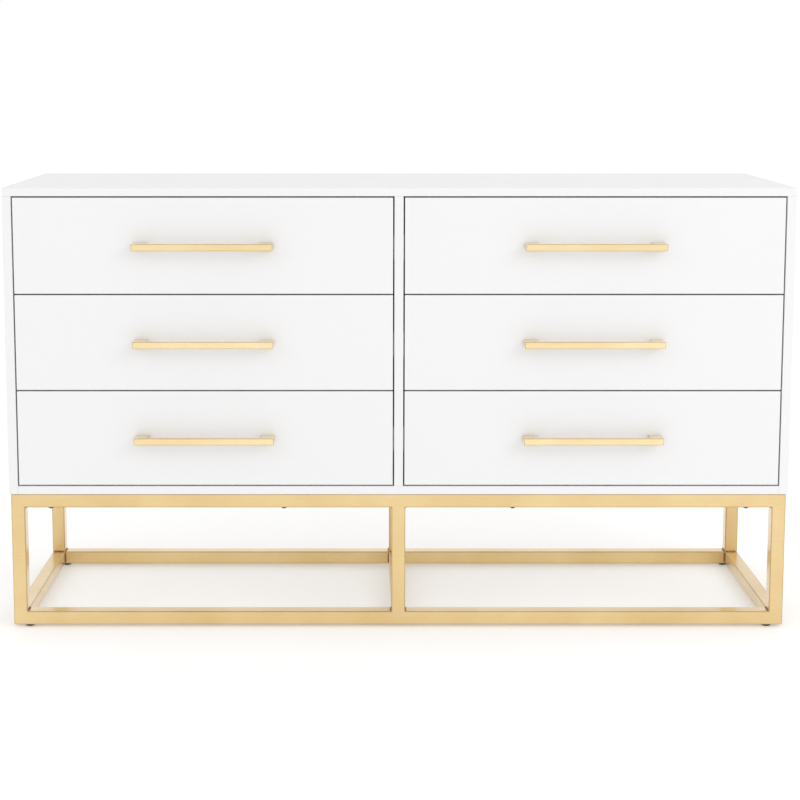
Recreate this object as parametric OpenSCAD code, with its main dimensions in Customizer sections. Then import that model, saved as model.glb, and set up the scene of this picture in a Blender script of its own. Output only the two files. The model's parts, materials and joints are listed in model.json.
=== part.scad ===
// Six-drawer dresser: a board carcass with two columns of inset drawers on a square-tube base.
// The origin is the centre of the footprint on the floor, handles included.
// +X is to the right seen from the drawer side, -Y faces the user and +Z is up.

/* [Carcass] */
// Width over the side boards
carcass_w = 1400; // [1200:10:1600]
// Depth of the top and side boards
carcass_d = 400; // [395:5:480]
// Height from the floor to the top
overall_h = 800; // [760:5:860]
// Thickness of the top and bottom boards
top_t = 15; // [12:1:18]
// Thickness of the side boards and of the divider
side_t = 16; // [12:1:18]
// Thickness of the back board
back_t = 3; // [2.5:0.5:5]
// How far the back board sits in from the rear edges
back_inset = 9; // [6:1:12]

/* [Base] */
// Height of the welded base, without its glides
base_h = 243; // [200:1:280]
// Outer size of the square tube
tube = 25; // [20:1:30]
// Wall thickness of the tube
tube_wall = 1.2; // [1:0.1:2]
// How far the base stands in from the carcass on each side
base_inset = 2.5; // [0:0.5:10]
// Height of a glide below the tube
glide_h = 5; // [4:0.5:8]
// Diameter of a glide where it meets the tube
glide_d = 18.6; // [16:0.2:24]
// Distance of a glide's centre from the side of the base
glide_from_side = 27; // [22:1:40]

/* [Drawers] */
// Gap round each drawer front
front_gap = 2.5; // [1.5:0.5:3]
// Thickness of a drawer front
front_t = 15; // [12:1:18]
// Thickness of the sides and back of a drawer box
box_t = 12; // [10:1:14]
// Height of a drawer side
box_h = 125; // [100:1:140]
// Length of a drawer side
box_l = 350; // [300:5:355]
// Height of a drawer side's lower edge above the lower edge of its front
box_lift = 18; // [12:1:24]
// Thickness of a drawer bottom
bottom_t = 4; // [3:0.5:5]

/* [Handles] */
// Length of a handle
handle_l = 248; // [180:2:320]
// Distance between the two screws of a handle
handle_hole_gap = 224; // [160:2:296]
// Height of the bar of a handle
handle_h = 12; // [10:1:16]
// How far a handle stands out from its drawer front
handle_out = 30; // [24:1:40]
// Thickness of the bar, front to back
handle_bar = 9; // [7:1:12]

/* [Runners] */
// Height of the member screwed to the carcass
runner_h = 45; // [35:1:46]
// Thickness of a closed runner
runner_t = 12.7; // [12.5:0.1:13]
// Length of each runner member
runner_l = 350; // [300:5:350]

/* [Hidden] */
COLUMNS = ["left", "right"];
ROWS = ["lower", "middle", "upper"];
DRAWERS = [for (row = [0:2], column = [0:1]) [column, row]];
DRAWER_PARTS = [
    "drawer_front", "drawer_sides", "drawer_back", "drawer_bottom",
    "drawer_runners", "intermediate_runners", "handle", "handle_screws"
];
function part_name(d, part) = str(ROWS[d.y], "_", COLUMNS[d.x], "_", part);

cut = 1;              // how far a cutter runs past the surface it cuts
weld_line = 0.1;      // what each welded tube end stands back from its neighbour

// Heights
base_top = glide_h + base_h;
opening_low = base_top + top_t;
opening_high = overall_h - top_t;

// Depths: the carcass and its handles together are centred on Y
front_y = -(carcass_d + handle_out) / 2 + handle_out;
rear_y = front_y + carcass_d;
back_panel_y = rear_y - back_inset - back_t;
box_y = front_y + front_t;

// Widths
carcass_x = carcass_w / 2;
inner_x = carcass_x - side_t;
column_w = inner_x - side_t / 2;
column_x = (inner_x + side_t / 2) / 2;

// Drawer fronts and boxes, from the middle of the column and the lower edge of the front
front_w = column_w - 2 * front_gap;
front_h = (opening_high - opening_low - (len(ROWS) + 1) * front_gap) / len(ROWS);
box_x = column_w / 2 - runner_t;
inner_box_x = box_x - box_t;
groove_lift = box_lift + 10;
groove_d = 6;
groove_h = bottom_t + 0.2;
bottom_grip = 5;
runner_z = box_lift + box_h / 2;
runner_y = box_y + 2;

// Back board groove
back_groove_d = 5;
back_grip = 4;
back_groove_t = back_t + 0.2;

// Base
base_x = carcass_x - base_inset;
base_front_y = front_y + base_inset;
base_rear_y = rear_y - base_inset;
glide_x = base_x - glide_from_side;
rail_ys = [base_front_y + tube / 2, base_rear_y - tube / 2];

// Base bolts: 6 mm button heads up through the top rails into the bottom board
bolt_xs = [-628, -206.5, 206.5, 628];
bolt_r = 3;
bolt_hole_r = 3.2;
bolt_head_r = 6;
bolt_head_h = 4;
bolt_bite = 11;
bolt_pilot_r = bolt_r + 0.05;
bolt_pilot_d = bolt_bite + 1;

// Glide: a domed button with a plain stem pushed into the tube
glide_stem_r = 3;
glide_stem_hole_r = 3.1;
glide_stem_l = 10;
glide_foot_r = 5.5;
glide_rim = 1.6;

// Handle screws: 4 mm pan heads through the front into the handle's legs
handle_leg_w = handle_l - handle_hole_gap;
screw_r = 1.95;
screw_thread_r = 2;
screw_hole_r = 2.25;
screw_head_r = 4;
screw_head_h = 2.6;
screw_bite = 10;
screw_thread_d = screw_bite + 3;
handle_z = front_h / 2;

// Runner members: [outer height, thickness of sheet, x of the web's near face, x of the flange tips]
carcass_member = [runner_h, 1.2, 0, 10];
middle_member = [runner_h - 7, 1, 2.4, runner_t - 1.2];
drawer_member = [runner_h - 17, 1, runner_t, 5];

white = "#f6f6f6";
box_white = "#ecebe7";
board = "#e4e0d6";
gold = "#e6ca92";
zinc = "#b9bcc0";
black = "#1c1b1a";

// A block from its low to its high value on each axis
module block(x, y, z) {
    translate([x[0], y[0], z[0]]) cube([x[1] - x[0], y[1] - y[0], z[1] - z[0]]);
}

// ---- Carcass ----

module back_groove(x, z) {
    block(x, [back_panel_y, back_panel_y + back_groove_t], z);
}

module top_panel() {
    color(white) difference() {
        block([-carcass_x, carcass_x], [front_y, rear_y], [opening_high, overall_h]);
        back_groove([-inner_x - back_groove_d, inner_x + back_groove_d],
                    [opening_high - cut, opening_high + back_groove_d]);
    }
}

module left_side_panel() {
    color(white) difference() {
        block([-carcass_x, -inner_x], [front_y, rear_y], [base_top, opening_high]);
        back_groove([-inner_x - back_groove_d, -inner_x + cut], [base_top - cut, opening_high + cut]);
    }
}

module right_side_panel() {
    mirror([1, 0, 0]) left_side_panel();
}

module centre_divider() {
    color(white)
        block([-side_t / 2, side_t / 2], [front_y, back_panel_y], [opening_low, opening_high]);
}

module bottom_panel() {
    color(white) difference() {
        block([-inner_x, inner_x], [front_y, back_panel_y], [base_top, opening_low]);
        for (x = bolt_xs, y = rail_ys)
            translate([x, y, base_top - cut]) cylinder(r = bolt_pilot_r, h = bolt_pilot_d + cut, $fn = 32);
    }
}

module back_panel() {
    color(board) block([-inner_x - back_grip, inner_x + back_grip],
                       [back_panel_y, back_panel_y + back_t],
                       [base_top + 1, opening_high + back_grip]);
}

// ---- Base ----

// A tube along X, mitred at both ends, with its long side down; the origin is its low left corner
module mitred_tube(length) {
    difference() {
        translate([0, tube, 0]) rotate([90, 0, 0]) linear_extrude(tube)
            polygon([[weld_line, 0], [length - weld_line, 0],
                     [length - weld_line - tube, tube], [weld_line + tube, tube]]);
        block([-cut, length + cut], [tube_wall, tube - tube_wall], [tube_wall, tube - tube_wall]);
    }
}

// A tube along Z, cut square between two rails
module square_post(length) {
    difference() {
        block([0, tube], [0, tube], [weld_line, length - weld_line]);
        block([tube_wall, tube - tube_wall], [tube_wall, tube - tube_wall], [-cut, length + cut]);
    }
}

// One upright frame: two rails, two end posts and a centre post, with its front face at y = 0
module ladder_frame() {
    difference() {
        translate([-base_x, 0, glide_h]) mitred_tube(2 * base_x);
        for (x = [-glide_x, glide_x]) translate([x, tube / 2, glide_h - cut])
            cylinder(r = glide_stem_hole_r, h = tube_wall + 2 * cut, $fn = 32);
    }
    difference() {
        translate([-base_x, tube, base_top]) rotate([180, 0, 0]) mitred_tube(2 * base_x);
        for (x = bolt_xs) translate([x, tube / 2, base_top - tube - cut])
            cylinder(r = bolt_hole_r, h = tube + 2 * cut, $fn = 32);
    }
    for (side = [0, 1]) mirror([side, 0, 0])
        translate([-base_x, 0, base_top]) rotate([0, 90, 0]) mitred_tube(base_h);
    translate([-tube / 2, 0, glide_h + tube]) square_post(base_h - 2 * tube);
}

module base_front_frame() {
    color(gold) translate([0, base_front_y, 0]) ladder_frame();
}

module base_back_frame() {
    color(gold) translate([0, base_rear_y - tube, 0]) ladder_frame();
}

module base_cross_rails() {
    rail_l = base_rear_y - base_front_y - 2 * tube;
    color(gold) for (x = [-base_x, -tube / 2, base_x - tube], z = [glide_h, base_top - tube])
        translate([x, base_front_y + tube, z + tube]) rotate([-90, 0, 0]) square_post(rail_l);
}

module floor_glide() {
    rotate_extrude($fn = 48) union() {
        polygon([[0, 0], [glide_foot_r, 0], [glide_d / 2, glide_h - glide_rim],
                 [glide_d / 2, glide_h], [0, glide_h]]);
        square([glide_stem_r, glide_h + glide_stem_l]);
    }
}

module floor_glides() {
    color(black) for (x = [-glide_x, glide_x], y = rail_ys)
        translate([x, y, 0]) floor_glide();
}

// A button-head bolt with a hexagon socket, head down, with the head's seat at z = 0
module base_bolt() {
    difference() {
        rotate_extrude($fn = 32) union() {
            polygon([[0, -bolt_head_h], [bolt_head_r * 0.55, -bolt_head_h],
                     [bolt_head_r * 0.9, -bolt_head_h * 0.6], [bolt_head_r, 0], [0, 0]]);
            translate([0, -cut]) square([bolt_r, tube + bolt_bite + cut]);
        }
        translate([0, 0, -bolt_head_h - cut]) cylinder(d = 4.6, h = 2.2 + cut, $fn = 6);
    }
}

module base_bolts() {
    color(black) for (x = bolt_xs, y = rail_ys)
        translate([x, y, base_top - tube]) base_bolt();
}

// ---- Runners ----

// One C-shaped member along Y, with x = 0 on the carcass board and z = 0 on its centre line
module runner_member(shape) {
    h = shape[0];
    t = shape[1];
    web = shape[2];
    tip = shape[3];
    inward = tip < web;
    web_in = inward ? web - t : web + t;
    difference() {
        block([min(web, tip), max(web, tip)], [0, runner_l], [-h / 2, h / 2]);
        block([inward ? tip - cut : web_in, inward ? web_in : tip + cut],
              [-cut, runner_l + cut], [-h / 2 + t, h / 2 - t]);
    }
}

// The same member on both sides of one drawer opening
module runner_pair(shape) {
    color(zinc) for (side = [0, 1]) mirror([side, 0, 0])
        translate([-column_w / 2, runner_y, runner_z]) runner_member(shape);
}

module cabinet_runners() {
    for (d = DRAWERS) at_drawer(d) runner_pair(carcass_member);
}

// ---- Drawers ----

// Puts a drawer's parts in their opening, from the middle of the column and the front's lower edge
module at_drawer(d) {
    x = d.x == 0 ? -column_x : column_x;
    z = opening_low + front_gap + d.y * (front_h + front_gap);
    translate([x, 0, z]) children();
}

module drawer_front() {
    color(white) difference() {
        block([-front_w / 2, front_w / 2], [front_y, box_y], [0, front_h]);
        block([-inner_box_x - groove_d, inner_box_x + groove_d], [box_y - groove_d, box_y + cut],
              [groove_lift, groove_lift + groove_h]);
        for (side = [-1, 1]) translate([side * handle_hole_gap / 2, box_y + cut, handle_z])
            rotate([90, 0, 0]) cylinder(r = screw_hole_r, h = front_t + 2 * cut, $fn = 32);
    }
}

module drawer_side() {
    difference() {
        block([-box_x, -inner_box_x], [box_y, box_y + box_l], [box_lift, box_lift + box_h]);
        block([-inner_box_x - groove_d, -inner_box_x + cut], [box_y - cut, box_y + box_l + cut],
              [groove_lift, groove_lift + groove_h]);
    }
}

module drawer_sides() {
    color(box_white) for (side = [0, 1]) mirror([side, 0, 0]) drawer_side();
}

module drawer_back() {
    color(box_white) block([-inner_box_x, inner_box_x], [box_y + box_l - box_t, box_y + box_l],
                           [groove_lift + bottom_t, box_lift + box_h]);
}

module drawer_bottom() {
    color(board) block([-inner_box_x - bottom_grip, inner_box_x + bottom_grip],
                       [box_y - bottom_grip, box_y + box_l], [groove_lift, groove_lift + bottom_t]);
}

module drawer_runners() {
    runner_pair(drawer_member);
}

module intermediate_runners() {
    runner_pair(middle_member);
}

// ---- Handle ----

module handle() {
    color(gold) difference() {
        block([-handle_l / 2, handle_l / 2], [front_y - handle_out, front_y],
              [handle_z - handle_h / 2, handle_z + handle_h / 2]);
        block([-handle_l / 2 + handle_leg_w, handle_l / 2 - handle_leg_w],
              [front_y - handle_out + handle_bar, front_y + cut],
              [handle_z - handle_h, handle_z + handle_h]);
        for (side = [-1, 1]) translate([side * handle_hole_gap / 2, front_y + cut, handle_z])
            rotate([90, 0, 0]) cylinder(r = screw_thread_r, h = screw_thread_d + cut, $fn = 32);
    }
}

// A pan-head screw with a cross recess, with the head's seat at z = 0 and the shank along +Z
module handle_screw() {
    difference() {
        rotate_extrude($fn = 32) union() {
            polygon([[0, -screw_head_h], [screw_head_r * 0.6, -screw_head_h],
                     [screw_head_r, -screw_head_h * 0.45], [screw_head_r, 0], [0, 0]]);
            translate([0, -cut]) square([screw_r, front_t + screw_bite + cut]);
        }
        for (turn = [0, 90]) rotate([0, 0, turn])
            block([-2, 2], [-0.45, 0.45], [-screw_head_h - cut, -screw_head_h + 1.4]);
    }
}

module handle_screws() {
    color(zinc) for (side = [-1, 1]) translate([side * handle_hole_gap / 2, box_y, handle_z])
        rotate([90, 0, 0]) handle_screw();
}

// ---- Output ----

top_panel();
left_side_panel();
right_side_panel();
centre_divider();
bottom_panel();
back_panel();
cabinet_runners();
base_front_frame();
base_back_frame();
base_cross_rails();
floor_glides();
base_bolts();
for (d = DRAWERS) at_drawer(d) {
    drawer_front();
    drawer_sides();
    drawer_back();
    drawer_bottom();
    drawer_runners();
    intermediate_runners();
    handle();
    handle_screws();
}
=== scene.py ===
from collections import namedtuple
import itertools
import json
import math

import bmesh
import bpy
from mathutils import Matrix, Vector

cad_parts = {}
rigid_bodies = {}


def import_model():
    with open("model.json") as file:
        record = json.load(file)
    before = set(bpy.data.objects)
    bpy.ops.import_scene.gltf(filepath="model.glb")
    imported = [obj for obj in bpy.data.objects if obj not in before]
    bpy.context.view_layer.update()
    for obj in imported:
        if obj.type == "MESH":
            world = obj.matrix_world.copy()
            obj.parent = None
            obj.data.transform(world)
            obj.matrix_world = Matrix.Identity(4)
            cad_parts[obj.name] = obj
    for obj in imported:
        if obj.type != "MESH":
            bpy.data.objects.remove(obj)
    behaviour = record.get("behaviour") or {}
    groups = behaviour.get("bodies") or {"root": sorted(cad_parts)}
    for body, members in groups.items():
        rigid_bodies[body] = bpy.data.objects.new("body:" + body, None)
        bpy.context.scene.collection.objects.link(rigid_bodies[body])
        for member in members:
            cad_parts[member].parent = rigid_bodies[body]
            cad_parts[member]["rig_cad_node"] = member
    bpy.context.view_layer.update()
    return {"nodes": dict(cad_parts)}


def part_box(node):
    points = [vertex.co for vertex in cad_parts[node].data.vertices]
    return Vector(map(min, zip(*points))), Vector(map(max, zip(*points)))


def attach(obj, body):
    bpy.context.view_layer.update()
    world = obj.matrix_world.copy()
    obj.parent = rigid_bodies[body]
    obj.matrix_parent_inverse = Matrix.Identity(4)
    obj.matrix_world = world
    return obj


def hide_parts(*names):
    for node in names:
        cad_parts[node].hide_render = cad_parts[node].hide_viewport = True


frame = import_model()

# All lengths are in metres.
ROWS = ("lower", "middle", "upper")
COLUMNS = ("left", "right")
DRAWERS = [f"{row}_{column}" for row in ROWS for column in COLUMNS]

# Edges
CREASE = math.radians(32)        # edges of the built meshes sharper than this are shaded sharp
ROUND_ANGLE = math.radians(40)   # edges sharper than this are rounded
MERGE_DISTANCE = 0.00001         # joins the doubled points of a CAD mesh
BOARD_ROUND = 0.0008             # lacquered boards and drawer fronts
BOX_ROUND = 0.0006               # sides and backs of the drawer boxes
SHEET_ROUND = 0.0003             # thin back and bottom boards
TUBE_ROUND = 0.0018              # square tube
HANDLE_ROUND = 0.0009
SCREW_ROUND = 0.00025

# Groove in a drawer front for the drawer's bottom
GROOVE_END_GAP = 0.001           # beyond the bottom's front and side edges
GROOVE_FACE_GAP = 0.0001         # above and below the bottom

# Nails in the back board
NAIL_MARGIN = 0.02               # from the bottom board's ends
NAILS_ACROSS = 13
NAILS_UP = 5

# Weld fillets of the base
FRAME_WELD = 0.0030              # leg of a fillet inside an upright frame
RAIL_WELD = 0.0028               # leg of a fillet round a cross rail's end
WELD_RIPPLE = 0.0028             # length of one ripple
WELD_STEP = 0.0007               # distance between the sections of a bead
WELD_SINK = 0.0003               # how far a bead's root lies inside the tubes
WELD_FLATNESS = 0.12             # share by which a bead is flatter than a quarter round
RIPPLE_DEPTH = 0.14              # share of a bead's size lost between ripples
BEAD_END = 0.35                  # share of a bead's size left at its ends
BEAD_SLOPE = 8                   # how steeply it grows from there, over its whole length
BEAD_SECTIONS = 8                # fewest sections of a bead
BEAD_FACETS = 4                  # facets round a bead

# Floor glides
GLIDE_RADIUS = 0.0093
GLIDE_FOOT = 0.0042              # radius of the flat foot
GLIDE_STEM = 0.0030              # radius of the stem in the tube
GLIDE_DOME = 0.82                # share of the button's height that is domed

# Handles
HANDLE_LEG = 0.024               # length of a leg along the bar
HANDLE_BAR = 0.009               # depth of the bar, front to back

# Runner members. Web and tip are measured from the carcass towards the drawer, sheet is the steel's
# thickness, and lip is the length of the turned-in edges.
Member = namedtuple("Member", "web tip height sheet lip")
CARCASS_MEMBER = Member(web=0.0, tip=0.0100, height=0.045, sheet=0.0012, lip=0.0008)
MIDDLE_MEMBER = Member(web=0.0024, tip=0.0115, height=0.038, sheet=0.0010, lip=0.0012)
DRAWER_MEMBER = Member(web=0.0127, tip=0.0050, height=0.028, sheet=0.0010, lip=0.0010)
MEMBER_CORNER = 0.0030           # outer radius of a member's rolled corners
TIP_CHAMFER = 0.0004
SCREW_INSET = 0.035              # outer runner screws, from a member's ends

# Rows of balls above and below a member's middle. Start and end are measured from its front.
BallRow = namedtuple("BallRow", "across up start end radius spacing cage")
OUTER_BALLS = BallRow(across=0.0062, up=0.02015, start=0.01, end=0.15,
                      radius=0.0010, spacing=0.012, cage=0.004)
INNER_BALLS = BallRow(across=0.0080, up=0.016, start=0.01, end=0.17,
                      radius=0.0018, spacing=0.016, cage=0.005)
CAGE_SHEET = 0.0004

FLOOR_REACH = 30.0               # from the middle of the floor to its edges


# ---- Shader helpers ----

def shader(name, **plain):
    """A new material with one Principled shader, its plain inputs set on their own sockets."""
    material = bpy.data.materials.new(name)
    material.use_nodes = True
    surface = material.node_tree.nodes["Principled BSDF"]
    for label, value in plain.items():
        surface.inputs[label.replace("_", " ")].default_value = value
    return material, material.node_tree, surface


def noise(tree, scale, detail, stretch=(1, 1, 1)):
    """Noise in the piece's own coordinates, drawn out along the axes where stretch is small."""
    coords = tree.nodes.new("ShaderNodeTexCoord")
    mapping = tree.nodes.new("ShaderNodeMapping")
    mapping.inputs["Scale"].default_value = stretch
    texture = tree.nodes.new("ShaderNodeTexNoise")
    texture.inputs["Scale"].default_value = scale
    texture.inputs["Detail"].default_value = detail
    tree.links.new(coords.outputs["Object"], mapping.inputs["Vector"])
    tree.links.new(mapping.outputs["Vector"], texture.inputs["Vector"])
    return texture.outputs["Fac"]


def ranged(tree, value, low, high, start=0.3, end=0.7):
    """Maps start..end of a value to low..high."""
    node = tree.nodes.new("ShaderNodeMapRange")
    for label, number in zip(("From Min", "From Max", "To Min", "To Max"), (start, end, low, high)):
        node.inputs[label].default_value = number
    tree.links.new(value, node.inputs["Value"])
    return node.outputs["Result"]


def tint(tree, factor, first, second):
    """A colour between two, by a factor."""
    node = tree.nodes.new("ShaderNodeMix")
    node.data_type = "RGBA"
    colour_inputs = [socket for socket in node.inputs if socket.type == "RGBA"]
    colour_inputs[0].default_value = (*first, 1)
    colour_inputs[1].default_value = (*second, 1)
    tree.links.new(factor, node.inputs[0])
    return [socket for socket in node.outputs if socket.type == "RGBA"][0]


def mathed(tree, operation, first, second):
    """A maths node on two values, either of them a number."""
    node = tree.nodes.new("ShaderNodeMath")
    node.operation = operation
    for index, value in enumerate((first, second)):
        if isinstance(value, (int, float)):
            node.inputs[index].default_value = value
        else:
            tree.links.new(value, node.inputs[index])
    return node.outputs[0]


def mixed(tree, first, second, share):
    """Two values added up, the first by share and the second by the rest."""
    weighted = mathed(tree, "MULTIPLY", first, share)
    rest = mathed(tree, "MULTIPLY", second, 1 - share)
    return mathed(tree, "ADD", weighted, rest)


def bumped(tree, surface, height, distance, strength):
    """Feeds a height to the shader's normal; distance is its relief in metres."""
    node = tree.nodes.new("ShaderNodeBump")
    node.inputs["Strength"].default_value = strength
    node.inputs["Distance"].default_value = distance
    tree.links.new(height, node.inputs["Height"])
    tree.links.new(node.outputs["Normal"], surface.inputs["Normal"])


def feed(tree, value, surface, label):
    """Links a value to one of the shader's inputs."""
    tree.links.new(value, surface.inputs[label])


# ---- Materials ----

def white_lacquer():
    """Satin white lacquer on board: faint clouding and a fine orange peel."""
    material, tree, surface = shader("white_lacquer", IOR=1.5)
    cloud = noise(tree, scale=3.5, detail=4)
    colour = tint(tree, cloud, (0.806, 0.805, 0.812), (0.831, 0.828, 0.833))
    feed(tree, colour, surface, "Base Color")
    feed(tree, ranged(tree, noise(tree, scale=28, detail=5), 0.28, 0.37), surface, "Roughness")
    bumped(tree, surface, noise(tree, scale=320, detail=2), distance=0.00003, strength=0.25)
    return material


def box_foil():
    """Off-white foil with a fine linen print, on the drawer boxes."""
    material, tree, surface = shader("box_foil", IOR=1.5)
    warp = noise(tree, scale=1300, detail=2, stretch=(1, 0.06, 1))
    weft = noise(tree, scale=1300, detail=2, stretch=(0.06, 1, 0.06))
    linen = mixed(tree, warp, weft, share=0.5)
    threads = ranged(tree, linen, 0, 1, start=0.4, end=0.6)
    colour = tint(tree, threads, (0.765, 0.760, 0.745), (0.800, 0.796, 0.783))
    feed(tree, colour, surface, "Base Color")
    feed(tree, ranged(tree, noise(tree, scale=40, detail=4), 0.42, 0.55), surface, "Roughness")
    bumped(tree, surface, linen, distance=0.00005, strength=0.35)
    return material


def painted_hardboard():
    """Pale painted hardboard: pressed fibres under a thin coat."""
    material, tree, surface = shader("painted_hardboard", IOR=1.48)
    fibres = noise(tree, scale=480, detail=5, stretch=(1, 1, 0.7))
    patches = noise(tree, scale=3, detail=2)
    mottle = ranged(tree, mixed(tree, fibres, patches, share=0.8), 0, 1, start=0.38, end=0.62)
    feed(tree, tint(tree, mottle, (0.70, 0.692, 0.670), (0.745, 0.740, 0.720)), surface, "Base Color")
    feed(tree, ranged(tree, fibres, 0.55, 0.72), surface, "Roughness")
    bumped(tree, surface, fibres, distance=0.00008, strength=0.5)
    return material


def gold_metal(name, colours, rough, brush):
    """Gold-coloured metal under clear lacquer, with brush lines along brush and soft clouding."""
    material, tree, surface = shader(name, Metallic=1.0, Coat_Weight=1.0, Coat_Roughness=0.10, Coat_IOR=1.5)
    lines = noise(tree, scale=900, detail=2, stretch=brush)
    cloud = noise(tree, scale=7, detail=4)
    both = mixed(tree, lines, cloud, share=0.25)
    feed(tree, tint(tree, ranged(tree, both, 0, 1, start=0.35, end=0.65), *colours), surface, "Base Color")
    feed(tree, ranged(tree, both, rough + 0.05, rough - 0.04), surface, "Roughness")
    bumped(tree, surface, lines, distance=0.00002, strength=0.25)
    return material


def shaded_weld():
    """Weld beads in the inner corners of the base: real welds, whose dark brown colour is painted shade of
    those corners.
    """
    material, tree, surface = shader("shaded_weld", Metallic=0.9, Coat_Weight=0.4, Coat_Roughness=0.3)
    weld_mottle = noise(tree, scale=260, detail=4)
    # Dark browns: painted shade in the inner corners where the beads lie.
    colour = tint(tree, ranged(tree, weld_mottle, 0, 1), (0.10, 0.055, 0.02), (0.38, 0.22, 0.08))
    feed(tree, colour, surface, "Base Color")
    feed(tree, ranged(tree, weld_mottle, 0.62, 0.42), surface, "Roughness")
    bumped(tree, surface, weld_mottle, distance=0.0001, strength=0.6)
    return material


def zinc_plate():
    """Bright zinc plating with a faint spangle and rolling lines along Y."""
    material, tree, surface = shader("zinc_plate", Metallic=1.0)
    spangle = tree.nodes.new("ShaderNodeTexVoronoi")
    spangle.inputs["Scale"].default_value = 300
    coords = tree.nodes.new("ShaderNodeTexCoord")
    tree.links.new(coords.outputs["Object"], spangle.inputs["Vector"])
    grains = tree.nodes.new("ShaderNodeRGBToBW")
    tree.links.new(spangle.outputs["Color"], grains.inputs["Color"])
    rolling = noise(tree, scale=1200, detail=2, stretch=(1, 0.03, 1))
    both = mixed(tree, grains.outputs["Val"], rolling, share=0.5)
    feed(tree, tint(tree, both, (0.55, 0.57, 0.60), (0.68, 0.69, 0.71)), surface, "Base Color")
    feed(tree, ranged(tree, both, 0.26, 0.44), surface, "Roughness")
    bumped(tree, surface, rolling, distance=0.00003, strength=0.5)
    return material


def black_plastic():
    """Moulded black plastic with a fine matt grain."""
    material, tree, surface = shader("black_plastic", IOR=1.5)
    grain = noise(tree, scale=1400, detail=3)
    feed(tree, tint(tree, grain, (0.012, 0.012, 0.013), (0.03, 0.03, 0.031)), surface, "Base Color")
    feed(tree, ranged(tree, grain, 0.42, 0.62), surface, "Roughness")
    bumped(tree, surface, grain, distance=0.00006, strength=0.6)
    return material


def black_steel():
    """Black-oxide steel, rubbed a little paler in spots."""
    material, tree, surface = shader("black_steel", Metallic=0.85)
    rub = noise(tree, scale=420, detail=5)
    spots = ranged(tree, rub, 0, 1, start=0.45, end=0.8)
    feed(tree, tint(tree, spots, (0.02, 0.02, 0.021), (0.09, 0.088, 0.085)), surface, "Base Color")
    feed(tree, ranged(tree, rub, 0.5, 0.32), surface, "Roughness")
    bumped(tree, surface, rub, distance=0.00004, strength=0.5)
    return material


def floor_paper():
    """The pale studio floor, with a faint glow so that it meets the white surroundings."""
    material, tree, surface = shader("floor_paper", Roughness=0.9, Specular_IOR_Level=0.1,
                                     Emission_Color=(1, 1, 1, 1), Emission_Strength=0.30)
    cloud = noise(tree, scale=1.5, detail=3)
    feed(tree, tint(tree, cloud, (0.76, 0.76, 0.76), (0.78, 0.78, 0.78)), surface, "Base Color")
    return material


# Each gold is a darker and a lighter colour.
TUBE_GOLD = ((0.74, 0.53, 0.235), (0.82, 0.62, 0.31))
# Darker gold for the tubes' rounded edges: painted shade along the edges.
TUBE_SHADED_ARRIS_GOLD = ((0.48, 0.32, 0.12), (0.64, 0.46, 0.20))
HANDLE_GOLD = ((0.86, 0.66, 0.34), (0.94, 0.76, 0.46))
# Darker gold for the handles' rounded edges: painted shade along the edges.
HANDLE_SHADED_ARRIS_GOLD = ((0.48, 0.31, 0.11), (0.66, 0.47, 0.21))
BRUSH_X = (0.05, 1, 1)
BRUSH_Y = (1, 0.05, 1)
NO_BRUSH = (1, 1, 1)

WHITE = white_lacquer()
FOIL = box_foil()
HARDBOARD = painted_hardboard()
GOLD_X = gold_metal("gold_tube_across", TUBE_GOLD, rough=0.34, brush=BRUSH_X)
GOLD_Y = gold_metal("gold_tube_deep", TUBE_GOLD, rough=0.34, brush=BRUSH_Y)
GOLD_HANDLE = gold_metal("gold_handle", HANDLE_GOLD, rough=0.28, brush=BRUSH_X)
# Rounded edges in darker gold: painted shade along the edges of tubes and handles.
TUBE_ARRIS_SHADE = gold_metal("gold_tube_arris_painted_shade", TUBE_SHADED_ARRIS_GOLD, rough=0.42, brush=NO_BRUSH)
HANDLE_ARRIS_SHADE = gold_metal("gold_handle_arris_painted_shade", HANDLE_SHADED_ARRIS_GOLD, rough=0.36, brush=NO_BRUSH)
WELD = shaded_weld()
ZINC = zinc_plate()
PLASTIC = black_plastic()
STEEL = black_steel()


# ---- Mesh helpers ----

def rounded(piece, width, segments=3, painted_edge_shade=None):
    """Rounds the hard edges of a piece without touching its mesh; the last argument, if given, is the
    material of the rounding, a darker colour painted as shade along the edges.
    """
    if piece.get("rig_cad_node"):
        weld = piece.modifiers.new("weld", "WELD")
        weld.merge_threshold = MERGE_DISTANCE
    bevel = piece.modifiers.new("round", "BEVEL")
    bevel.width = width
    bevel.segments = segments
    bevel.limit_method = "ANGLE"
    bevel.angle_limit = ROUND_ANGLE
    bevel.use_clamp_overlap = False
    bevel.harden_normals = True
    if painted_edge_shade:
        piece.data.materials.append(painted_edge_shade)
        bevel.material = len(piece.data.materials) - 1


def new_piece(name, bm, body, material, replaced=()):
    """Makes a piece of a bmesh in the frame's coordinates, riding on a body."""
    bmesh.ops.recalc_face_normals(bm, faces=bm.faces)
    for face in bm.faces:
        face.smooth = True
    for edge in bm.edges:
        edge.smooth = edge.calc_face_angle(0.0) < CREASE
    mesh = bpy.data.meshes.new(name)
    bm.to_mesh(mesh)
    bm.free()
    mesh.materials.append(material)
    piece = bpy.data.objects.new(name, mesh)
    bpy.context.scene.collection.objects.link(piece)
    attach(piece, body)
    if replaced:
        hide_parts(*replaced)
    return piece


def rectangle(low_u, low_v, high_u, high_v):
    """The four corners of a rectangle, in order round it."""
    return [(low_u, low_v), (high_u, low_v), (high_u, high_v), (low_u, high_v)]


def prism(bm, outline, low, high, place):
    """A closed prism: a flat outline between two values of the third axis, placed by a function."""
    count = len(outline)
    lower = [bm.verts.new(place(u, v, low)) for u, v in outline]
    upper = [bm.verts.new(place(u, v, high)) for u, v in outline]
    bm.faces.new(lower)
    bm.faces.new(upper)
    for i in range(count):
        j = (i + 1) % count
        bm.faces.new((lower[i], lower[j], upper[j], upper[i]))


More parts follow.
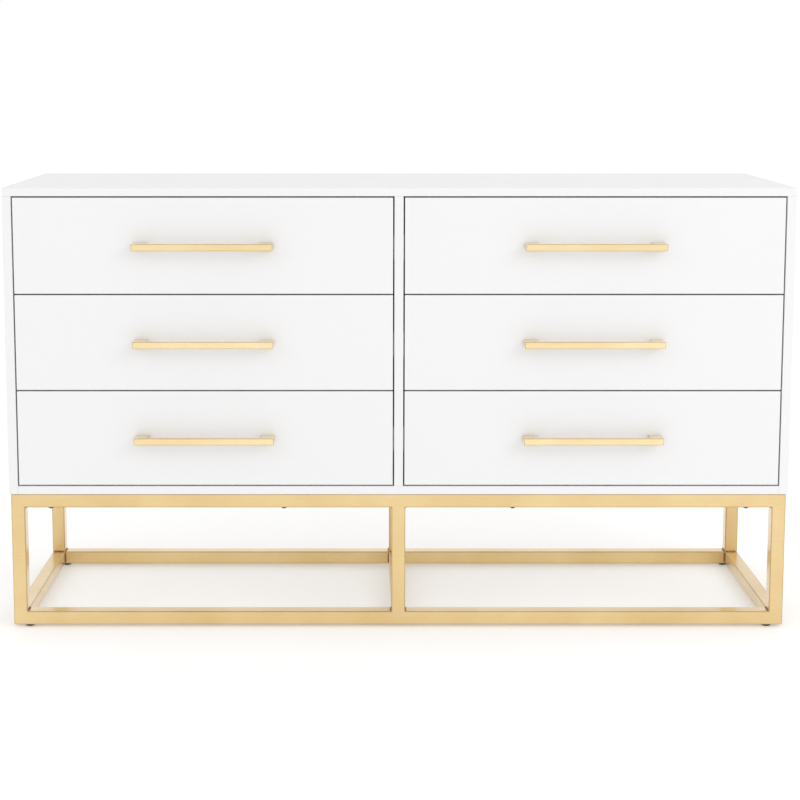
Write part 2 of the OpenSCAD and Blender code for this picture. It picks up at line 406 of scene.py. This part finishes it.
def carved(xs, ys, zs, solid=lambda i, j, k: True):
    """One closed surface round the cells of a grid for which solid is true."""
    bm = bmesh.new()
    planes = (xs, ys, zs)
    counts = [range(len(values) - 1) for values in planes]
    cells = [cell for cell in itertools.product(*counts) if solid(*cell)]
    corners = {}
    for cell, axis, way in itertools.product(cells, range(3), (0, 1)):
        beyond = list(cell)
        beyond[axis] += 2 * way - 1
        if tuple(beyond) in cells:
            continue
        across, along = [other for other in range(3) if other != axis]
        face = []
        for u, v in rectangle(0, 0, 1, 1):
            index = list(cell)
            index[axis] += way
            index[across] += u
            index[along] += v
            key = tuple(index)
            if key not in corners:
                corners[key] = bm.verts.new([values[at] for values, at in zip(planes, key)])
            face.append(corners[key])
        bm.faces.new(face)
    return bm


def lathe(bm, profile, centre, axis, steps):
    """A turned solid: profile is (radius, height) from one end on the axis to the other."""
    turn = Vector((0, 0, 1)).rotation_difference(Vector(axis)).to_matrix()
    rings = []
    for radius, height in profile:
        if radius == 0:
            rings.append([bm.verts.new(Vector(centre) + turn @ Vector((0, 0, height)))])
            continue
        ring = []
        for i in range(steps):
            angle = 2 * math.pi * i / steps
            point = Vector((radius * math.cos(angle), radius * math.sin(angle), height))
            ring.append(bm.verts.new(Vector(centre) + turn @ point))
        rings.append(ring)
    for first, second in zip(rings, rings[1:]):
        for i in range(steps):
            j = (i + 1) % steps
            corners = [first[i % len(first)], first[j % len(first)]]
            corners += [second[j % len(second)], second[i % len(second)]]
            bm.faces.new(list(dict.fromkeys(corners)))


def arc(centre, radius, start, end, steps):
    """Points on an arc in a plane, angles in degrees, both ends included."""
    angles = [math.radians(start + (end - start) * i / steps) for i in range(steps + 1)]
    return [(centre[0] + radius * math.cos(a), centre[1] + radius * math.sin(a)) for a in angles]


# ---- Boards ----

def paint(node, material, width, segments=3):
    """Gives a CAD node its material and rounds its edges."""
    piece = frame["nodes"][node]
    for material_slot in piece.material_slots:
        material_slot.material = material
    rounded(piece, width, segments)


def bottom_board():
    """The bottom board, without the bolt holes that its bolts fill."""
    low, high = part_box("bottom_panel")
    bm = carved([low.x, high.x], [low.y, high.y], [low.z, high.z])
    piece = new_piece("bottom_board", bm, "cabinet", WHITE, ["bottom_panel"])
    rounded(piece, BOARD_ROUND)


def drawer_front(drawer):
    """A drawer front with the groove for its bottom across the back; the handle covers its screw holes."""
    node = f"{drawer}_drawer_front"
    low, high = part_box(node)
    bottom_low, bottom_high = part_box(f"{drawer}_drawer_bottom")
    xs = [low.x, bottom_low.x - GROOVE_END_GAP, bottom_high.x + GROOVE_END_GAP, high.x]
    ys = [low.y, bottom_low.y - GROOVE_END_GAP, high.y]
    zs = [low.z, bottom_low.z - GROOVE_FACE_GAP, bottom_high.z + GROOVE_FACE_GAP, high.z]
    bm = carved(xs, ys, zs, lambda i, j, k: (i, j, k) != (1, 1, 1))
    piece = new_piece(f"{node}_board", bm, f"{drawer}_drawer", WHITE, [node])
    rounded(piece, BOARD_ROUND)


def boards():
    """The boards that keep their CAD meshes."""
    for node in ("top_panel", "left_side_panel", "right_side_panel", "centre_divider"):
        paint(node, WHITE, BOARD_ROUND)
    paint("back_panel", HARDBOARD, SHEET_ROUND, segments=2)
    for drawer in DRAWERS:
        paint(f"{drawer}_drawer_sides", FOIL, BOX_ROUND, segments=2)
        paint(f"{drawer}_drawer_back", FOIL, BOX_ROUND, segments=2)
        paint(f"{drawer}_drawer_bottom", FOIL, SHEET_ROUND, segments=2)


def fasteners():
    """The bolts and screws that keep their CAD meshes."""
    paint("base_bolts", STEEL, SCREW_ROUND, segments=2)
    for drawer in DRAWERS:
        paint(f"{drawer}_handle_screws", ZINC, SCREW_ROUND, segments=2)


def back_nails():
    """Small domed nails that fix the back board to the bottom board and the divider."""
    back_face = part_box("back_panel")[1].y
    bottom_low, bottom_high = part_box("bottom_panel")
    row_z = (bottom_low.z + bottom_high.z) / 2
    reach = bottom_high.x - NAIL_MARGIN
    across = [(-reach + 2 * reach * i / (NAILS_ACROSS - 1), row_z) for i in range(NAILS_ACROSS)]
    divider_low, divider_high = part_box("centre_divider")
    divider_height = divider_high.z - divider_low.z
    up = [(0.0, divider_low.z + divider_height * (i + 0.5) / NAILS_UP) for i in range(NAILS_UP)]
    profile = [
        (0.0, -0.006), (0.0009, -0.005), (0.0009, 0.0), (0.0032, 0.0),
        (0.0030, 0.0005), (0.0018, 0.0010), (0.0, 0.0012),
    ]
    bm = bmesh.new()
    for x, z in across + up:
        lathe(bm, profile, (x, back_face, z), (0, 1, 0), steps=20)
    new_piece("back_board_nails", bm, "cabinet", ZINC)


# ---- Base ----

def ladder_frame(name, node):
    """One upright frame of square tube, its welds ground flush on the outside."""
    low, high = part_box(node)
    tube = high.y - low.y
    xs = [low.x, low.x + tube, -tube / 2, tube / 2, high.x - tube, high.x]
    zs = [low.z, low.z + tube, high.z - tube, high.z]
    bm = carved(xs, [low.y, high.y], zs, lambda i, j, k: k != 1 or i not in (1, 3))
    piece = new_piece(name, bm, "cabinet", GOLD_X, [node])
    rounded(piece, TUBE_ROUND, painted_edge_shade=TUBE_ARRIS_SHADE)


def cross_rail_boxes():
    """The low and high corners of the six rails that join the two upright frames."""
    low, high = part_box("base_cross_rails")
    frame_low, frame_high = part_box("base_front_frame")
    tube = frame_high.y - frame_low.y
    for x in (low.x, -tube / 2, high.x - tube):
        for z in (low.z, high.z - tube):
            yield Vector((x, low.y, z)), Vector((x + tube, high.y, z + tube))


def cross_rails():
    """The six rails, each with its long edges rounded as rolled tube has them."""
    bm = bmesh.new()
    long_edges = bm.edges.layers.float.new("bevel_weight_edge")
    for low, high in cross_rail_boxes():
        outline = rectangle(low.x, low.z, high.x, high.z)
        prism(bm, outline, low.y, high.y, lambda x, z, y: (x, y, z))
    for edge in bm.edges:
        if edge.verts[0].co.y != edge.verts[1].co.y:
            edge[long_edges] = 1.0
    piece = new_piece("base_cross_rails_rounded", bm, "cabinet", GOLD_Y, ["base_cross_rails"])
    rounded(piece, TUBE_ROUND, painted_edge_shade=TUBE_ARRIS_SHADE)
    piece.modifiers["round"].limit_method = "WEIGHT"


def bead(bm, start, end, first, second, size):
    """A rippled fillet weld along an inner corner, between the directions first and second."""
    start, end, first, second = Vector(start), Vector(end), Vector(first), Vector(second)
    length = (end - start).length
    steps = max(BEAD_SECTIONS, round(length / WELD_STEP))
    rings = []
    for i in range(steps + 1):
        share = i / steps
        crest = abs(math.sin(math.pi * share * length / WELD_RIPPLE))
        ripple = 1 - RIPPLE_DEPTH + RIPPLE_DEPTH * crest
        taper = min(1.0, BEAD_SLOPE * min(share, 1 - share) + BEAD_END)
        root = start.lerp(end, share) - (first + second) * WELD_SINK
        ring = [root]
        for k in range(BEAD_FACETS + 1):
            angle = math.radians(90 * k / BEAD_FACETS)
            radius = size * ripple * taper * (1.0 - WELD_FLATNESS * math.sin(2 * angle))
            ring.append(root + (first * math.cos(angle) + second * math.sin(angle)) * radius)
        rings.append([bm.verts.new(point) for point in ring])
    for near, far in zip(rings, rings[1:]):
        for i in range(len(near)):
            j = (i + 1) % len(near)
            bm.faces.new((near[i], near[j], far[j], far[i]))
    bm.faces.new(rings[0])
    bm.faces.new(rings[-1])


def frame_corner_welds(bm, node):
    """The fillet welds in the inner corners of one upright frame."""
    low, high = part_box(node)
    tube = high.y - low.y
    near = low.y + TUBE_ROUND
    far = high.y - TUBE_ROUND
    for bay_low, bay_high in ((low.x + tube, -tube / 2), (tube / 2, high.x - tube)):
        for x, along in ((bay_low, 1), (bay_high, -1)):
            for z, up in ((low.z + tube, 1), (high.z - tube, -1)):
                bead(bm, (x, near, z), (x, far, z), (along, 0, 0), (0, 0, up), FRAME_WELD)


def rail_end_welds(bm):
    """The fillet welds where the cross rails meet the upright frames, on the faces inside the base."""
    rails_low, rails_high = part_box("base_cross_rails")
    middle = (rails_low.z + rails_high.z) / 2
    for low, high in cross_rail_boxes():
        inner_z, up = (high.z, 1) if low.z < middle else (low.z, -1)
        for y, away in ((low.y, (0, 1, 0)), (high.y, (0, -1, 0))):
            start = (low.x + TUBE_ROUND, y, inner_z)
            bead(bm, start, (high.x - TUBE_ROUND, y, inner_z), away, (0, 0, up), RAIL_WELD)
            for x, side in ((low.x, -1), (high.x, 1)):
                if x in (rails_low.x, rails_high.x):
                    continue
                start = (x, y, low.z + TUBE_ROUND)
                bead(bm, start, (x, y, high.z - TUBE_ROUND), away, (side, 0, 0), RAIL_WELD)


def base_welds():
    """The fillet welds of the whole base."""
    bm = bmesh.new()
    frame_corner_welds(bm, "base_front_frame")
    frame_corner_welds(bm, "base_back_frame")
    rail_end_welds(bm)
    # The beads carry the dark weld material, painted shade in the inner corners of the base.
    new_piece("base_weld_beads", bm, "cabinet", WELD)


def glides():
    """Black plastic buttons under the frames, domed towards a flat foot, with a stem in the tube."""
    low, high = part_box("floor_glides")
    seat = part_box("base_front_frame")[0].z
    profile = [(0.0, 0.0)]
    for degrees in range(0, 91, 10):
        angle = math.radians(degrees)
        radius = GLIDE_FOOT + (GLIDE_RADIUS - GLIDE_FOOT) * math.sin(angle)
        profile.append((radius, seat * GLIDE_DOME * (1 - math.cos(angle))))
    profile += [(GLIDE_RADIUS, seat), (GLIDE_STEM, seat), (GLIDE_STEM, high.z), (0.0, high.z)]
    bm = bmesh.new()
    for x in (low.x + GLIDE_RADIUS, high.x - GLIDE_RADIUS):
        for y in (low.y + GLIDE_RADIUS, high.y - GLIDE_RADIUS):
            lathe(bm, profile, (x, y, 0), (0, 0, 1), steps=40)
    new_piece("floor_glides_domed", bm, "cabinet", PLASTIC, ["floor_glides"])


# ---- Handles ----

def handle(drawer):
    """A flat bar on two legs, one piece, with softened edges."""
    node = f"{drawer}_handle"
    low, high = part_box(node)
    xs = [low.x, low.x + HANDLE_LEG, high.x - HANDLE_LEG, high.x]
    ys = [low.y, low.y + HANDLE_BAR, high.y]
    bm = carved(xs, ys, [low.z, high.z], lambda i, j, k: j == 0 or i != 1)
    piece = new_piece(f"{drawer}_handle_bar", bm, f"{drawer}_drawer", GOLD_HANDLE, [node])
    rounded(piece, HANDLE_ROUND, painted_edge_shade=HANDLE_ARRIS_SHADE)


# ---- Runners ----

def channel_outline(member):
    """The section of a rolled C member: (across, up) points, with rounded corners and turned-in lips."""
    way = 1 if member.tip > member.web else -1
    reach = abs(member.tip - member.web)
    half = member.height / 2
    sheet = member.sheet
    corner = MEMBER_CORNER
    lip_edge = half - sheet - member.lip
    points = [(reach, -lip_edge), (reach, -half + TIP_CHAMFER), (reach - TIP_CHAMFER, -half)]
    points += arc((corner, -half + corner), corner, 270, 180, steps=5)
    points += arc((corner, half - corner), corner, 180, 90, steps=5)
    points += [(reach - TIP_CHAMFER, half), (reach, half - TIP_CHAMFER), (reach, lip_edge)]
    points += [(reach - sheet, lip_edge), (reach - sheet, half - sheet)]
    points += arc((corner, half - corner), corner - sheet, 90, 180, steps=4)
    points += arc((corner, -half + corner), corner - sheet, 180, 270, steps=4)
    points += [(reach - sheet, -half + sheet), (reach - sheet, -lip_edge)]
    return [(member.web + way * u, v) for u, v in points]


def runner_walls(drawer):
    """The two faces a drawer's runners stand on, as (x, way to the drawer), and their middle height."""
    low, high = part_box(f"{drawer}_intermediate_runners")
    web = MIDDLE_MEMBER.web
    return ((low.x - web, 1), (high.x + web, -1)), (low.z + high.z) / 2


def members(bm, drawer, member, node):
    """Both members of one kind for a drawer."""
    walls, middle = runner_walls(drawer)
    low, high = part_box(node)
    outline = channel_outline(member)
    for wall, way in walls:
        prism(bm, outline, low.y, high.y, lambda u, v, y: (wall + way * u, y, middle + v))


def screw_head(bm, x, y, z, way):
    """A low pan head lying on a runner's web, with a round recess."""
    profile = [
        (0.0, 0.0), (0.0034, 0.0), (0.0034, 0.0005), (0.0029, 0.0013),
        (0.0015, 0.0017), (0.0010, 0.0011), (0.0, 0.0009),
    ]
    lathe(bm, profile, (x, y, z), (way, 0, 0), steps=20)


def ball_strip(bm, x, z, low_y, high_y, row):
    """A thin cage with its balls, lying in a race along Y."""
    half_width = row.cage / 2
    half_sheet = CAGE_SHEET / 2
    outline = rectangle(x - half_width, z - half_sheet, x + half_width, z + half_sheet)
    prism(bm, outline, low_y, high_y, lambda u, v, y: (u, y, v))
    count = int((high_y - low_y) / row.spacing)
    for i in range(count):
        place = Matrix.Translation((x, low_y + row.spacing * (i + 0.5), z))
        bmesh.ops.create_icosphere(bm, subdivisions=2, radius=row.radius, matrix=place)


def ball_strips(bm, drawer, front, row):
    """The cages above and below the middle of both runners of a drawer."""
    walls, middle = runner_walls(drawer)
    for wall, way in walls:
        for z in (middle - row.up, middle + row.up):
            ball_strip(bm, wall + way * row.across, z, front + row.start, front + row.end, row)


def carcass_runners():
    """The members on the carcass, with the ball cages inside them."""
    bm = bmesh.new()
    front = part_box("cabinet_runners")[0].y
    for drawer in DRAWERS:
        members(bm, drawer, CARCASS_MEMBER, "cabinet_runners")
        ball_strips(bm, drawer, front, OUTER_BALLS)
    new_piece("carcass_runner_members", bm, "cabinet", ZINC, ["cabinet_runners"])


def middle_runners(drawer):
    """The middle members of a drawer's runners, with the ball cages inside them."""
    node = f"{drawer}_intermediate_runners"
    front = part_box(node)[0].y
    bm = bmesh.new()
    members(bm, drawer, MIDDLE_MEMBER, node)
    ball_strips(bm, drawer, front, INNER_BALLS)
    new_piece(f"{drawer}_middle_members", bm, f"{drawer}_intermediate", ZINC, [node])


def drawer_runners(drawer):
    """The members screwed to a drawer's sides, with their screws."""
    node = f"{drawer}_drawer_runners"
    low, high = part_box(node)
    walls, middle = runner_walls(drawer)
    web_face = DRAWER_MEMBER.web - DRAWER_MEMBER.sheet
    bm = bmesh.new()
    members(bm, drawer, DRAWER_MEMBER, node)
    for wall, way in walls:
        for y in (low.y + SCREW_INSET, (low.y + high.y) / 2, high.y - SCREW_INSET):
            screw_head(bm, wall + way * web_face, y, middle, -way)
    new_piece(f"{drawer}_drawer_members", bm, f"{drawer}_drawer", ZINC, [node])


# ---- Studio ----

def studio_floor():
    """A wide flat floor under the dresser."""
    bm = bmesh.new()
    outline = rectangle(-FLOOR_REACH, -FLOOR_REACH, FLOOR_REACH, FLOOR_REACH)
    bm.faces.new([bm.verts.new((x, y, 0.0)) for x, y in outline])
    mesh = bpy.data.meshes.new("studio_floor")
    bm.to_mesh(mesh)
    bm.free()
    mesh.materials.append(floor_paper())
    floor = bpy.data.objects.new("studio_floor", mesh)
    bpy.context.scene.collection.objects.link(floor)


def area_light(name, place, target, size, power, colour):
    """A rectangular soft box at place, turned to the target."""
    data = bpy.data.lights.new(name, "AREA")
    data.shape = "RECTANGLE"
    data.size, data.size_y = size
    data.energy = power
    data.color = colour
    lamp = bpy.data.objects.new(name, data)
    lamp.location = place
    lamp.rotation_euler = (Vector(target) - Vector(place)).to_track_quat("-Z", "Y").to_euler()
    bpy.context.scene.collection.objects.link(lamp)


def surroundings():
    """White walls that fall off to a greyer ceiling."""
    world = bpy.data.worlds.new("studio")
    world.use_nodes = True
    tree = world.node_tree
    coords = tree.nodes.new("ShaderNodeTexCoord")
    split = tree.nodes.new("ShaderNodeSeparateXYZ")
    tree.links.new(coords.outputs["Generated"], split.inputs["Vector"])
    height = ranged(tree, split.outputs["Z"], 0.0, 1.0, start=0.5, end=1.0)
    shade = tint(tree, height, (1.0, 1.0, 1.0), (0.86, 0.86, 0.86))
    tree.links.new(shade, tree.nodes["Background"].inputs["Color"])
    bpy.context.scene.world = world


def studio_light():
    """Two big soft boxes, the stronger and cooler one on the right."""
    middle = (0, 0, 0.4)
    area_light("soft_box_right", place=(2.6, -2.6, 2.4), target=middle, size=(2.2, 1.8),
               power=23, colour=(0.98, 0.985, 1.0))
    area_light("soft_box_left", place=(-2.8, -2.2, 2.0), target=middle, size=(1.8, 1.6),
               power=6, colour=(1.0, 0.985, 0.96))


def camera():
    """In front of the dresser and a little above it, tilted down and shifted to frame it."""
    data = bpy.data.cameras.new("camera")
    data.lens = 73.78
    data.sensor_width = 36.0
    data.shift_x = 0.0390
    data.shift_y = -0.17
    item = bpy.data.objects.new("camera", data)
    item.location = (-0.0534, -3.0628, 1.0081)
    item.rotation_euler = (math.radians(90 - 6.797), 0, 0)
    bpy.context.scene.collection.objects.link(item)
    bpy.context.scene.camera = item


camera()
bottom_board()
boards()
fasteners()
back_nails()
ladder_frame("base_front_weldment", "base_front_frame")
ladder_frame("base_back_weldment", "base_back_frame")
cross_rails()
base_welds()
glides()
carcass_runners()
for drawer_name in DRAWERS:
    drawer_front(drawer_name)
    handle(drawer_name)
    middle_runners(drawer_name)
    drawer_runners(drawer_name)
studio_floor()
surroundings()
studio_light()
bpy.context.scene.view_settings.view_transform = "Standard"
